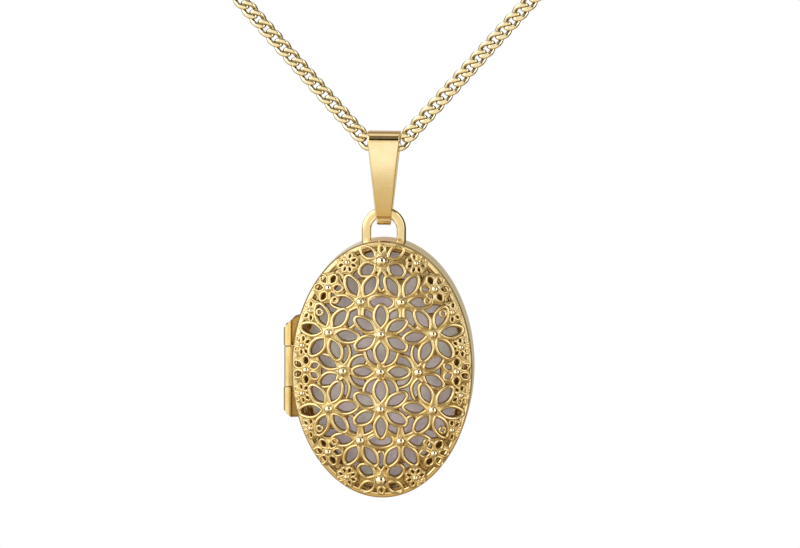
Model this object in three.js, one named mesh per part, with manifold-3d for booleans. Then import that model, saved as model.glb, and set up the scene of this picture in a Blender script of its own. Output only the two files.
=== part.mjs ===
// Oval filigree locket on a curb chain.
//
// Frame: millimetres, +Z up, +X to the wearer's left as seen from the front, the front faces -Y.
// The origin is the middle of the chain inside the bail, the point that the pendant hangs from.
//
// Bench order: chain -> bail -> back half (shell, loop, snap rim, plate, frame, two knuckles, pin)
// -> front half (rim, filigree dome, granules, one knuckle), which opens like a book to the left.

import * as THREE from 'three';
import { mergeVertices } from 'three/addons/utils/BufferGeometryUtils.js';
import Module from 'manifold-3d';

const wasm = await Module();
wasm.setup();

// ---------------------------------------------------------------- driving dimensions, mm

const HALF_WIDTH = 10.5;          // of the oval case
const HALF_HEIGHT = 15.0;
const CASE_Z = -25.7;             // centre of the case
const SEAM_Y = -0.5;              // plane where the two halves meet
const BACK_DEPTH = 2.9;           // seam to flat back
const LID_DEPTH = 2.3;            // seam to the front edge of the side wall
const SEAM_GAP = 0.03;            // half of the hairline gap between the halves
const LID_WALL = 0.6;
const BACK_WALL = 0.7;
const BACK_ROUND = 0.8;           // radius of the back's edge
const FLOOR = 0.6;                // thickness of the back
const ASSEMBLY_GAP = 0.05;        // between soldered or pressed neighbours

const DOME_HALF_HEIGHT = 14.3;    // edge of the filigree
const DOME_RISE = 1.75;           // above the front rim
const DOME_THICKNESS = 0.6;
const DOME_POWER = 2.5;           // a larger power gives a flatter middle and a steeper edge
const DOME_ROUNDNESS = 0.75;
const DOME_AROUND = 32;           // steps round the dome
const DOME_SHARES = [0, 0.35, 0.6, 0.8, 0.92, 1];   // profile points, middle to edge
const RIM_RISE = 0.1;             // the dome starts this far in front of the side wall's edge
const RIM_BEVEL_WIDTH = 0.15;     // of the side wall's front corner
const RIM_BEVEL_DEPTH = 0.35;
const BEZEL_WIDTH = 0.2;          // narrow bezel round the filigree
const BEZEL_RISE = 0.2;           // in front of the side wall's edge
const BEZEL_LIP = 0.5;            // behind it

const PLATE_HALF_HEIGHT = 13.8;
const PLATE_FRONT = 1.1;          // Y of the plate's face
const PLATE_THICKNESS = 0.45;
const FRAME_OPENING = 13.3;       // half-height of the picture frame's opening
const FRAME_OUTSIDE = 13.88;
const FRAME_DEPTH = 0.6;
const FRAME_SLOPE = 0.15;         // how much the opening widens towards the front
const SNAP_OUTSIDE = 14.25;       // half-height of the snap rim
const SNAP_INSIDE = 13.95;
const SNAP_STANDS_OUT = 0.8;      // in front of the seam
const SNAP_SEAT = 1.0;            // behind the seam
const SNAP_LEAD_IN = 0.12;        // bevel that guides the lid over it

const HINGE_X = -11.1;
const HINGE_LENGTH = 12.0;
const MIDDLE_KNUCKLE = 4.7;
const KNUCKLE_RADIUS = 0.5;
const KNUCKLE_GAP = 0.06;
const KNUCKLE_CHAMFER = 0.9;
const WEB_DEPTH = 1.3;            // of a knuckle's web at the wall, behind or in front of the seam
const WEB_CLEAR = 0.08;           // from the seam
const WEB_HEEL = 0.75;            // where its sloping face starts, from the pin
const WEB_REACH = 1.8;            // into the case, before it is trimmed to the wall
const PIN_RADIUS = 0.24;
const PIN_BORE = 0.30;
const PIN_LENGTH = 10.4;

const LOOP_OUTSIDE = 2.55;        // radius of the arched loop on top of the case
const LOOP_OUTSIDE_Z = -9.6;      // centre of its outer arc
const LOOP_INSIDE = 1.5;
const LOOP_INSIDE_Z = -9.7;       // lower, so the loop is thickest where the bail carries it
const LOOP_FOOT_Z = -12.0;        // the feet start inside the case and are trimmed to its wall
const LOOP_DEPTH = 0.9;
const LOOP_EDGE = 0.2;            // chamfer of the loop's edges

const BAIL_BEND_RADIUS = 0.6;     // inside, of the two bends over the chain
const BAIL_BEND_Y = 0.75;         // their centres
const BAIL_BEND_Z = 0.7;
const BAIL_BOTTOM_RADIUS = 0.8;   // inside, round the loop
const BAIL_BOTTOM_Z = -7.72;
const BAIL_THICKNESS = 0.45;
const BAIL_TOP_WIDTH = 3.75;
const BAIL_BOTTOM_WIDTH = 1.7;
const BAIL_TAPER_END = -8.4;

const CHAIN_WIDTH = 1.4;
const CHAIN_SIDES = 8;
const STRAND_POINTS = [           // one strand, [X outwards, Z]; the other one is its mirror image
  [0.15, -0.05], [0.7, -0.04], [1.2, 0.03], [1.65, 0.2], [2.1, 0.55], [2.7, 1.2],
  [4.47, 3.16], [6.47, 5.4], [8.7, 7.9], [11.2, 10.7], [13.7, 13.5], [16.2, 16.3],
  [18.6, 19.0], [21.52, 22.27],
];
const STRAND_STEPS = 16;
const RING_RADIUS = 1.25;         // end ring, at the middle of its wire
const RING_WIRE = 0.3;            // radius of the wire

const AROUND = 48;                // steps round the oval
const BARREL_SIDES = 16;
const PIN_SIDES = 12;
const BEND_STEPS = 12;            // in each arc of a drawn outline
const TOOL_REACH = 8;             // half-length of a cutting solid, past every piece it cuts

// Granules and the flowers round them: [X, Z from the case centre, diameter], first quarter only.
// turn is the direction of the first petal in degrees.
const LARGE_FLOWERS = [
  { x: 0, z: 0, bead: 1.25, turn: 0 },
  { x: 0, z: 4.35, bead: 1.2, turn: 90 },
  { x: 4.36, z: 0, bead: 1.2, turn: 90 },
  { x: 6.03, z: 4.42, bead: 1.15, turn: 8 },
  { x: 2.34, z: 8.06, bead: 1.2, turn: 0 },
  { x: 0, z: 12.75, bead: 1.45, turn: 90 },
];
const SMALL_FLOWERS = [
  { x: 6.16, z: 9.56, bead: 0.95, turn: 0 },
  { x: 8.71, z: 0, bead: 0.9, turn: 90 },
];
const RIM_BEADS = [
  { x: 3.99, z: 12.5, bead: 0.72, turn: 0 },
  { x: 8.2, z: 6.85, bead: 0.72, turn: 0 },
  { x: 9.2, z: 2.8, bead: 0.72, turn: 0 },
];
const PETALS = 6;
const PETAL_RADIUS = 1.45;        // flower centre to petal centre
const PETAL_HALF_LENGTH = 0.7;
const PETAL_HALF_WIDTH = 0.52;
const PETAL_SIDES = 6;
const PETAL_LIMIT = 0.93;         // no opening beyond this share of the dome's oval
const BEAD_SEAT = 0.4;            // a bead's centre stands this share of its radius off the dome
const SEAT_OPENING = 1.06;        // the opening it sits in, as a share of its radius

// ---------------------------------------------------------------- materials

const GOLD = new THREE.MeshStandardMaterial({ color: 0xe3b967, roughness: 0.2, metalness: 1 });
const SATIN_SILVER = new THREE.MeshStandardMaterial({ color: 0xb4aeb9, roughness: 0.38, metalness: 1 });

// ---------------------------------------------------------------- solids

// Turns a closed geometry into a solid, with its faces pointing out.
function solid(geometry) {
  const bare = geometry.clone();
  bare.deleteAttribute('normal');
  bare.deleteAttribute('uv');
  const merged = mergeVertices(bare, 1e-4);
  const positions = Float32Array.from(merged.attributes.position.array);
  const triangles = Uint32Array.from(merged.index.array);
  let volume = 0;
  const corners = [new THREE.Vector3(), new THREE.Vector3(), new THREE.Vector3()];
  const kept = [];
  for (let i = 0; i < triangles.length; i += 3) {
    const [a, b, c] = triangles.subarray(i, i + 3);
    if (a === b || b === c || c === a) continue;
    kept.push(a, b, c);
    corners.forEach((corner, k) => corner.fromArray(positions, 3 * triangles[i + k]));
    volume += corners[0].dot(corners[1].clone().cross(corners[2]));
  }
  if (volume < 0) kept.reverse();
  return new wasm.Manifold(new wasm.Mesh({
    numProp: 3, vertProperties: positions, triVerts: Uint32Array.from(kept),
  }));
}

function geometryOf(body) {
  const mesh = body.getMesh();
  const geometry = new THREE.BufferGeometry();
  geometry.setAttribute('position', new THREE.BufferAttribute(mesh.vertProperties, 3));
  geometry.setIndex(new THREE.BufferAttribute(mesh.triVerts, 1));
  geometry.computeVertexNormals();
  return geometry;
}

// Outline points as vectors for a lathe or a shape.
const vectors = (points) => points.map(([u, v]) => new THREE.Vector2(u, v));

// Half-width of the oval whose half-height is r: walls keep their thickness all the way round.
const OFFSET_STARTS = 8;
function halfWidthAt(r) {
  return r - (HALF_HEIGHT - HALF_WIDTH) * Math.min(1, r / OFFSET_STARTS);
}

// Turns a profile of [half-height, Y] about the case's axis and narrows it to the oval.
function ovalTurned(profile) {
  const geometry = new THREE.LatheGeometry(vectors(profile), AROUND);
  const position = geometry.attributes.position;
  for (let i = 0; i < position.count; i += 1) {
    const radius = Math.hypot(position.getX(i), position.getZ(i));
    if (radius > 1e-6) {
      position.setX(i, (position.getX(i) * halfWidthAt(radius)) / radius);
    }
  }
  geometry.translate(0, 0, CASE_Z);
  return geometry;
}

// A flat outline drawn in X and Z, made into a slab between two depths.
function slabXZ(outline, yFront, yBack) {
  const geometry = new THREE.ExtrudeGeometry(outline, {
    depth: yBack - yFront, bevelEnabled: false, curveSegments: BEND_STEPS,
  });
  geometry.rotateX(Math.PI / 2);
  geometry.translate(0, yBack, 0);
  return geometry;
}

// A prism whose outline is drawn in Y and Z, from -halfLength to halfLength along X.
function prismAlongX(outline, halfLength) {
  const geometry = new THREE.ExtrudeGeometry(outline, {
    depth: 2 * halfLength, bevelEnabled: false, curveSegments: BEND_STEPS,
  });
  geometry.applyMatrix4(new THREE.Matrix4().makeBasis(
    new THREE.Vector3(0, 1, 0), new THREE.Vector3(0, 0, 1), new THREE.Vector3(1, 0, 0),
  ));
  geometry.translate(-halfLength, 0, 0);
  return geometry;
}

// Everything inside the case's outer wall, a little larger, to trim what is soldered to it.
function caseEnvelope() {
  const r = HALF_HEIGHT + ASSEMBLY_GAP;
  return solid(ovalTurned([
    [0, -TOOL_REACH], [r, -TOOL_REACH], [r, TOOL_REACH], [0, TOOL_REACH],
  ]));
}

const group = new THREE.Group();

function addPiece(name, geometry, material) {
  const mesh = new THREE.Mesh(geometry, material);
  mesh.name = name;
  group.add(mesh);
}

// ---------------------------------------------------------------- back half

const BACK_ROUND_STEPS = 3;
function backShell() {
  const back = SEAM_Y + BACK_DEPTH;
  const seam = SEAM_Y + SEAM_GAP;
  const inside = HALF_HEIGHT - BACK_WALL;
  const edge = [];
  for (let k = 0; k <= BACK_ROUND_STEPS; k += 1) {
    const angle = (Math.PI / 2) * (k / BACK_ROUND_STEPS);
    edge.push([
      HALF_HEIGHT - BACK_ROUND * (1 - Math.sin(angle)), back - BACK_ROUND * (1 - Math.cos(angle)),
    ]);
  }
  return ovalTurned([
    [0, back], ...edge, [HALF_HEIGHT, seam], [inside, seam],
    [inside, back - FLOOR], [0, back - FLOOR],
  ]);
}

function snapRim() {
  const front = SEAM_Y - SNAP_STANDS_OUT;
  const back = SEAM_Y + SNAP_SEAT;
  return ovalTurned([
    [SNAP_INSIDE, front], [SNAP_OUTSIDE - SNAP_LEAD_IN, front],
    [SNAP_OUTSIDE, front + SNAP_LEAD_IN], [SNAP_OUTSIDE, back], [SNAP_INSIDE, back],
    [SNAP_INSIDE, front],
  ]);
}

function silverPlate() {
  const front = PLATE_FRONT;
  const back = PLATE_FRONT + PLATE_THICKNESS;
  return ovalTurned([[0, front], [PLATE_HALF_HEIGHT, front], [PLATE_HALF_HEIGHT, back], [0, back]]);
}

function pictureFrame() {
  const back = PLATE_FRONT - ASSEMBLY_GAP;
  const front = back - FRAME_DEPTH;
  return ovalTurned([
    [FRAME_OPENING, back], [FRAME_OPENING + FRAME_SLOPE, front], [FRAME_OUTSIDE, front],
    [FRAME_OUTSIDE, back], [FRAME_OPENING, back],
  ]);
}

// Arched loop: two legs on the case, a round top, every long edge chamfered.
function pendantLoop() {
  const arch = new THREE.Shape();
  arch.moveTo(LOOP_OUTSIDE, LOOP_FOOT_Z);
  arch.lineTo(LOOP_OUTSIDE, LOOP_OUTSIDE_Z);
  arch.absarc(0, LOOP_OUTSIDE_Z, LOOP_OUTSIDE, 0, Math.PI, false);
  arch.lineTo(-LOOP_OUTSIDE, LOOP_FOOT_Z);
  arch.lineTo(-LOOP_INSIDE, LOOP_FOOT_Z);
  arch.absarc(0, LOOP_INSIDE_Z, LOOP_INSIDE, Math.PI, 0, true);
  arch.lineTo(LOOP_INSIDE, LOOP_FOOT_Z);
  const geometry = new THREE.ExtrudeGeometry(arch, {
    depth: LOOP_DEPTH - 2 * LOOP_EDGE, curveSegments: BEND_STEPS, bevelSegments: 1,
    bevelThickness: LOOP_EDGE, bevelSize: LOOP_EDGE, bevelOffset: -LOOP_EDGE,
  });
  geometry.rotateX(Math.PI / 2);
  geometry.translate(0, LOOP_DEPTH / 2 - LOOP_EDGE, 0);
  return geometryOf(solid(geometry).subtract(caseEnvelope()));
}

// ---------------------------------------------------------------- hinge

// Height of a knuckle's ends above the case centre.
const KNUCKLE_SPANS = {
  hinge_knuckle_upper: [MIDDLE_KNUCKLE / 2 + KNUCKLE_GAP, HINGE_LENGTH / 2],
  hinge_knuckle_middle: [-MIDDLE_KNUCKLE / 2, MIDDLE_KNUCKLE / 2],
  hinge_knuckle_lower: [-HINGE_LENGTH / 2, -MIDDLE_KNUCKLE / 2 - KNUCKLE_GAP],
};

// A barrel round the pin with a web that reaches the case wall. side is +1 for a web behind the
// seam, on the back half, and -1 for one in front of it, on the lid.
function knuckle([low, high], side) {
  const length = high - low;
  const middle = CASE_Z + (low + high) / 2;
  const barrel = new THREE.CylinderGeometry(
    KNUCKLE_RADIUS, KNUCKLE_RADIUS, length, BARREL_SIDES,
  );
  const shoulder = KNUCKLE_RADIUS * Math.SQRT1_2;
  const web = new THREE.Shape(vectors([
    [0, WEB_CLEAR], [WEB_REACH, WEB_CLEAR], [WEB_REACH, WEB_DEPTH], [WEB_HEEL, WEB_DEPTH],
    [-shoulder, shoulder],
  ]));
  const webGeometry = new THREE.ExtrudeGeometry(web, { depth: length, bevelEnabled: false });
  webGeometry.translate(0, 0, -length / 2);
  webGeometry.scale(1, side, 1);
  barrel.rotateX(Math.PI / 2);
  const bore = new THREE.CylinderGeometry(PIN_BORE, PIN_BORE, 2 * TOOL_REACH, PIN_SIDES);
  bore.rotateX(Math.PI / 2);
  let body = solid(barrel).add(solid(webGeometry)).subtract(solid(bore));
  body = body.translate([HINGE_X, SEAM_Y, middle]);
  return body.subtract(caseEnvelope());
}

// The outer ends of the hinge slope in towards the case.
function chamferCutter(end) {
  const tip = CASE_Z + (end * HINGE_LENGTH) / 2;
  const outside = HINGE_X - KNUCKLE_RADIUS;
  const shape = new THREE.Shape(vectors([
    [outside - 1, tip - end * (KNUCKLE_CHAMFER + 1)],
    [outside + KNUCKLE_CHAMFER + 1, tip + end],
    [outside - 1, tip + end],
  ]));
  return solid(slabXZ(shape, -TOOL_REACH, TOOL_REACH));
}

function addHinge() {
  for (const [name, span] of Object.entries(KNUCKLE_SPANS)) {
    const onLid = name === 'hinge_knuckle_middle';
    let body = knuckle(span, onLid ? -1 : 1);
    if (!onLid) body = body.subtract(chamferCutter(Math.sign(span[0] + span[1])));
    addPiece(name, geometryOf(body), GOLD);
  }
  const pin = new THREE.CylinderGeometry(PIN_RADIUS, PIN_RADIUS, PIN_LENGTH, PIN_SIDES);
  pin.rotateX(Math.PI / 2);
  pin.translate(HINGE_X, SEAM_Y, CASE_Z);
  addPiece('hinge_pin', pin, GOLD);
}

// ---------------------------------------------------------------- front half

function lidRim() {
  const seam = SEAM_Y - SEAM_GAP;
  const front = SEAM_Y - LID_DEPTH;
  const inside = HALF_HEIGHT - LID_WALL;
  const lip = DOME_HALF_HEIGHT + ASSEMBLY_GAP;
  return ovalTurned([
    [inside, seam], [HALF_HEIGHT, seam], [HALF_HEIGHT, front + RIM_BEVEL_DEPTH],
    [HALF_HEIGHT - RIM_BEVEL_WIDTH, front], [lip + BEZEL_WIDTH, front],
    [lip + BEZEL_WIDTH, front - BEZEL_RISE], [lip, front - BEZEL_RISE], [lip, front + BEZEL_LIP],
    [inside, front + BEZEL_LIP], [inside, seam],
  ]);
}

// Y of the dome's outer face at a share of the way from its middle to its edge.
function domeY(share) {
  const height = (1 - Math.min(share, 1) ** DOME_POWER) ** DOME_ROUNDNESS;
  return SEAM_Y - LID_DEPTH - RIM_RISE - DOME_RISE * height;
}

const DOME_HALF_WIDTH = halfWidthAt(DOME_HALF_HEIGHT);
const domeShare = (x, z) => Math.hypot(x / DOME_HALF_WIDTH, z / DOME_HALF_HEIGHT);

// The four mirror images of a place in the first quarter, each once.
function mirrored(flower) {
  const copies = [];
  for (const sx of flower.x > 0 ? [-1, 1] : [1]) {
    for (const sz of flower.z > 0 ? [1, -1] : [1]) {
      copies.push({ ...flower, x: sx * flower.x, z: sz * flower.z, turn: sx * sz * flower.turn });
    }
  }
  return copies;
}

function opening(x, z, halfWidth, halfLength, direction) {
  const prism = new THREE.CylinderGeometry(1, 1, TOOL_REACH, PETAL_SIDES);
  prism.scale(halfWidth, 1, halfLength);
  prism.rotateY(Math.PI / 2 - direction);
  prism.translate(x, SEAM_Y - LID_DEPTH, CASE_Z + z);
  return solid(prism);
}

function filigreeDome() {
  const outer = DOME_SHARES.map((share) => [share * DOME_HALF_HEIGHT, domeY(share)]);
  const inner = outer.map(([radius, y]) => [radius, y + DOME_THICKNESS]).reverse();
  const dome = new THREE.LatheGeometry(vectors([...outer, ...inner]), DOME_AROUND);
  dome.scale(DOME_HALF_WIDTH / DOME_HALF_HEIGHT, 1, 1);
  dome.translate(0, 0, CASE_Z);
  const cutters = [];
  for (const flower of LARGE_FLOWERS.flatMap(mirrored)) {
    for (let k = 0; k < PETALS; k += 1) {
      const angle = ((flower.turn + (360 * k) / PETALS) * Math.PI) / 180;
      const [dx, dz] = [Math.cos(angle), Math.sin(angle)];
      const reach = PETAL_RADIUS + PETAL_HALF_LENGTH;
      if (domeShare(flower.x + reach * dx, flower.z + reach * dz) < PETAL_LIMIT) {
        cutters.push(opening(
          flower.x + PETAL_RADIUS * dx, flower.z + PETAL_RADIUS * dz,
          PETAL_HALF_WIDTH, PETAL_HALF_LENGTH, -angle,
        ));
      }
    }
  }
  for (const { x, z, bead } of allBeads()) {
    const radius = (SEAT_OPENING * bead) / 2;
    cutters.push(opening(x, z, radius, radius, 0));
  }
  return geometryOf(solid(dome).subtract(wasm.Manifold.union(cutters)));
}

function allBeads() {
  return [...LARGE_FLOWERS, ...SMALL_FLOWERS, ...RIM_BEADS].flatMap(mirrored);
}

function addBeads() {
  allBeads().forEach(({ x, z, bead }, index) => {
    const radius = bead / 2;
    const ball = new THREE.IcosahedronGeometry(radius, 1);
    const standsOff = BEAD_SEAT * radius + ASSEMBLY_GAP;
    ball.translate(x, domeY(domeShare(x, z)) - standsOff, CASE_Z + z);
    addPiece(`granule_${String(index + 1).padStart(2, '0')}`, geometryOf(solid(ball)), GOLD);
  });
}

// ---------------------------------------------------------------- bail and chain

// Outline in Y and Z of the folded strap: two bends over the chain and one under the loop's bar,
// joined by straight sides. lean is how far the sides' normals point down.
function strapOutline(Outline, grow) {
  const bend = BAIL_BEND_RADIUS + grow;
  const bottom = BAIL_BOTTOM_RADIUS + grow;
  const [dy, dz] = [-BAIL_BEND_Y, BAIL_BOTTOM_Z - BAIL_BEND_Z];
  const lean = -Math.atan2(dz, dy) - Math.acos((bend - bottom) / Math.hypot(dy, dz));
  const outline = new Outline();
  outline.absarc(BAIL_BEND_Y, BAIL_BEND_Z, bend, -lean, Math.PI / 2, false);
  outline.absarc(-BAIL_BEND_Y, BAIL_BEND_Z, bend, Math.PI / 2, Math.PI + lean, false);
  outline.absarc(0, BAIL_BOTTOM_Z, bottom, Math.PI + lean, 2 * Math.PI - lean, false);
  outline.closePath();
  return outline;
}

function bail() {
  const strap = strapOutline(THREE.Shape, BAIL_THICKNESS);
  strap.holes.push(strapOutline(THREE.Path, 0));
  const top = BAIL_BEND_Z + BAIL_BEND_RADIUS + BAIL_THICKNESS;
  const [wide, narrow] = [BAIL_TOP_WIDTH / 2, BAIL_BOTTOM_WIDTH / 2];
  const bottom = BAIL_TAPER_END - 2 * BAIL_BOTTOM_RADIUS;
  const taper = new THREE.Shape(vectors([
    [-wide, top + 1], [-wide, top], [-narrow, BAIL_TAPER_END], [-narrow, bottom],
    [narrow, bottom], [narrow, BAIL_TAPER_END], [wide, top], [wide, top + 1],
  ]));
  const tapered = solid(slabXZ(taper, -TOOL_REACH, TOOL_REACH));
  return geometryOf(solid(prismAlongX(strap, BAIL_TOP_WIDTH)).intersect(tapered));
}

// One strand of the chain as a plain rod along its middle line. side is -1 left, +1 right.
function strandCurve(side) {
  const points = STRAND_POINTS.map(([x, z]) => new THREE.Vector3(side * x, 0, z));
  return new THREE.CatmullRomCurve3(points, false, 'centripetal');
}

function strand(side) {
  const section = new THREE.Shape();
  for (let k = 0; k < CHAIN_SIDES; k += 1) {
    const angle = (2 * Math.PI * (k + 0.5)) / CHAIN_SIDES;
    const [u, v] = [(CHAIN_WIDTH / 2) * Math.cos(angle), (CHAIN_WIDTH / 2) * Math.sin(angle)];
    if (k === 0) section.moveTo(u, v);
    else section.lineTo(u, v);
  }
  section.closePath();
  return new THREE.ExtrudeGeometry(section, {
    steps: STRAND_STEPS, bevelEnabled: false, extrudePath: strandCurve(side),
  });
}

// A closed ring that the last link hooks into, just past the strand's end and square to it.
function endRing(side) {
  const ring = new THREE.TorusGeometry(RING_RADIUS, RING_WIRE, CHAIN_SIDES, 2 * CHAIN_SIDES);
  const along = strandCurve(side).getTangent(1).normalize();
  const depth = new THREE.Vector3(0, 1, 0);
  const across = along.clone().cross(depth);
  ring.applyMatrix4(new THREE.Matrix4().makeBasis(along, depth, across));
  const centre = strandCurve(side).getPoint(1)
    .addScaledVector(along, RING_RADIUS + RING_WIRE + ASSEMBLY_GAP);
  ring.translate(centre.x, centre.y, centre.z);
  return ring;
}

// ---------------------------------------------------------------- assembly

addPiece('chain_left', geometryOf(solid(strand(-1))), GOLD);
addPiece('chain_right', geometryOf(solid(strand(1))), GOLD);
addPiece('chain_ring_left', geometryOf(solid(endRing(-1))), GOLD);
addPiece('chain_ring_right', geometryOf(solid(endRing(1))), GOLD);
addPiece('bail', bail(), GOLD);
addPiece('back_shell', geometryOf(solid(backShell())), GOLD);
addPiece('snap_rim', geometryOf(solid(snapRim())), GOLD);
addPiece('silver_plate', geometryOf(solid(silverPlate())), SATIN_SILVER);
addPiece('picture_frame', geometryOf(solid(pictureFrame())), GOLD);
addPiece('pendant_loop', pendantLoop(), GOLD);
addPiece('lid_rim', geometryOf(solid(lidRim())), GOLD);
addPiece('filigree_dome', filigreeDome(), GOLD);
addHinge();
addBeads();

export default group;
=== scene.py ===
"""Looks of an oval filigree locket on a curb chain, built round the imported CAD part.

Sizes are millimetres in the part's frame, and each mesh is scaled to metres when it is made.
The front faces -Y. Places round the case are [X, Z from the case's centre].
"""

import math
import random

import bpy
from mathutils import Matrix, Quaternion, Vector


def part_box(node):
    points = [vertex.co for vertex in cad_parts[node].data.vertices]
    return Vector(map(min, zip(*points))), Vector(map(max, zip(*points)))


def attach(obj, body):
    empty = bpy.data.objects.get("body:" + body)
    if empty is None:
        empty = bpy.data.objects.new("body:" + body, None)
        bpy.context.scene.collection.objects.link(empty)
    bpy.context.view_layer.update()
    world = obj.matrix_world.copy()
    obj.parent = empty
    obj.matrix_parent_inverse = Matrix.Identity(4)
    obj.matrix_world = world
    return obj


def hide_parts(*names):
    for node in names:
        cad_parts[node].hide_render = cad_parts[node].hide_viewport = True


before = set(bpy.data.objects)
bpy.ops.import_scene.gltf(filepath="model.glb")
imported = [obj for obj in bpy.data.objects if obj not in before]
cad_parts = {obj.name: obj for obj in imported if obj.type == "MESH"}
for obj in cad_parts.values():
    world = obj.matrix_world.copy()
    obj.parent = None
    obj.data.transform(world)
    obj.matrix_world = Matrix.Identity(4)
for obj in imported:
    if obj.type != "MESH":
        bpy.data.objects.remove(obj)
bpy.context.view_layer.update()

MM = 0.001
TAU = 2 * math.pi


def node_box(name):
    """Lowest and highest corner of a CAD node, in millimetres."""
    return tuple(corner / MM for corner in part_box(name))


# ---- sizes from the frame

BACK_LOW, BACK_HIGH = node_box("back_shell")
LID_LOW, LID_HIGH = node_box("lid_rim")
DOME_LOW, DOME_HIGH = node_box("filigree_dome")
PLATE_LOW, PLATE_HIGH = node_box("silver_plate")
FRAME_LOW, FRAME_HIGH = node_box("picture_frame")
SNAP_LOW, SNAP_HIGH = node_box("snap_rim")
LOOP_HIGH = node_box("pendant_loop")[1]
BAIL_HIGH = node_box("bail")[1]
PIN_LOW, PIN_HIGH = node_box("hinge_pin")

HALF_WIDTH = BACK_HIGH.x
HALF_HEIGHT = (BACK_HIGH.z - BACK_LOW.z) / 2
CASE_Z = (BACK_HIGH.z + BACK_LOW.z) / 2
BACK_Y = BACK_HIGH.y
SEAM_Y = (BACK_LOW.y + LID_HIGH.y) / 2

# ---- camera

CAMERA_AZIMUTH = math.radians(4)
CAMERA_ELEVATION = math.radians(7)
CAMERA_ROLL = math.radians(0.2)
CAMERA_DISTANCE = 600
VIEW_WIDTH = 92.7  # across the picture, at the object
VIEW_CENTRE = Vector((1.87, 0, -14.85))
SENSOR_WIDTH = 36


def make_camera():
    data = bpy.data.cameras.new("camera")
    data.sensor_width = SENSOR_WIDTH
    data.lens = SENSOR_WIDTH * CAMERA_DISTANCE / VIEW_WIDTH
    data.clip_start = 0.05
    data.clip_end = 20
    camera = bpy.data.objects.new("camera", data)
    level = math.cos(CAMERA_ELEVATION)
    back = Vector((
        math.sin(CAMERA_AZIMUTH) * level, -math.cos(CAMERA_AZIMUTH) * level,
        math.sin(CAMERA_ELEVATION),
    ))
    camera.location = (VIEW_CENTRE + back * CAMERA_DISTANCE) * MM
    camera.rotation_mode = "QUATERNION"
    roll = Quaternion((0, 0, 1), CAMERA_ROLL)
    camera.rotation_quaternion = (-back).to_track_quat("-Z", "Y") @ roll
    bpy.context.scene.collection.objects.link(camera)
    bpy.context.scene.camera = camera


# ---- mesh building

class Body:
    """Vertices and faces of one piece. relief is 1 on its highest ridges and 0 deep down; the gold
    finishes paint shade and a faint glow where it is low.
    """

    def __init__(self, rings=None, closed=True, relief=None):
        self.points = []
        self.faces = []
        self.relief = []
        if rings:
            self.loft(rings, closed, relief)

    def loft(self, rings, closed=True, relief=None):
        """Joins rings of equal length. Open lofts get a cap at each end."""
        start, size, count = len(self.points), len(rings[0]), len(rings)
        for index, ring in enumerate(rings):
            self.points.extend(ring)
            self.relief.extend(relief[index] if relief else [1.0] * size)
        for i in range(count if closed else count - 1):
            here, there = start + i * size, start + (i + 1) % count * size
            for j in range(size):
                k = (j + 1) % size
                self.faces.append((here + j, here + k, there + k, there + j))
        if not closed:
            last = start + (count - 1) * size
            self.faces.append(tuple(range(start + size - 1, start - 1, -1)))
            self.faces.append(tuple(range(last, last + size)))


def make_piece(name, body, finish, rides_on, nodes, sharp=40):
    """Turns a Body into a shown piece. finish is its material and a slot name, which is not used."""
    material, slot = finish
    mesh = bpy.data.meshes.new(name)
    mesh.from_pydata([Vector(p) * MM for p in body.points], [], body.faces)
    relief = mesh.attributes.new("relief", "FLOAT", "POINT")
    relief.data.foreach_set("value", body.relief)
    mesh.validate()
    piece = bpy.data.objects.new(name, mesh)
    bpy.context.scene.collection.objects.link(piece)
    bpy.context.view_layer.objects.active = piece
    bpy.ops.object.mode_set(mode="EDIT")
    bpy.ops.mesh.select_all(action="SELECT")
    bpy.ops.mesh.normals_make_consistent(inside=False)
    bpy.ops.object.mode_set(mode="OBJECT")
    mesh.shade_smooth()
    mesh.set_sharp_from_angle(angle=math.radians(sharp))
    mesh.materials.append(material)
    piece.modifiers.new("weighted normals", "WEIGHTED_NORMAL").keep_sharp = True
    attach(piece, rides_on)
    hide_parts(*nodes)
    return piece


def circle(count):
    """Cosine and sine of evenly spaced turns."""
    return [(math.cos(TAU * k / count), math.sin(TAU * k / count)) for k in range(count)]


def spread(start, end, count):
    """Evenly spaced values from start to end, in count steps."""
    return [start + (end - start) * k / count for k in range(count + 1)]


CORNER_SHARE = 0.48  # of a side, the most that one rounded corner takes up
SHARP_CORNER = 1e-4  # a corner that would take up less stays sharp


def rounded(corners, radius, steps=4):
    """A closed outline with its corners rounded. A corner may give its own radius third."""
    outline = []
    for index, corner in enumerate(corners):
        here = Vector(corner[:2])
        before = Vector(corners[index - 1][:2]) - here
        after = Vector(corners[(index + 1) % len(corners)][:2]) - here
        size = corner[2] if len(corner) > 2 else radius
        angle = before.angle(after)
        reach = size / math.tan(angle / 2)
        reach = min(reach, CORNER_SHARE * before.length, CORNER_SHARE * after.length)
        if reach < SHARP_CORNER:
            outline.append(here)
            continue
        start, end = here + before.normalized() * reach, here + after.normalized() * reach
        for t in spread(0, 1, steps):
            outline.append((1 - t) ** 2 * start + 2 * t * (1 - t) * here + t ** 2 * end)
    return outline


OVAL_STEPS = 240
OVAL_CORE = 8  # inside this half-height the oval narrows in proportion
AXIS_HOLE = 0.02  # radius of the small flat at the axis


def half_width_at(r):
    """Half-width of the oval whose half-height is r, so walls keep their thickness."""
    return r - (HALF_HEIGHT - HALF_WIDTH) * min(1, r / OVAL_CORE)


def oval_turned(profile):
    """Turns a closed profile of [half-height, Y] about the case's axis, as an oval."""
    return Body([
        [(half_width_at(r) * sin, y, CASE_Z + r * cos) for r, y in profile]
        for cos, sin in circle(OVAL_STEPS)
    ])


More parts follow.
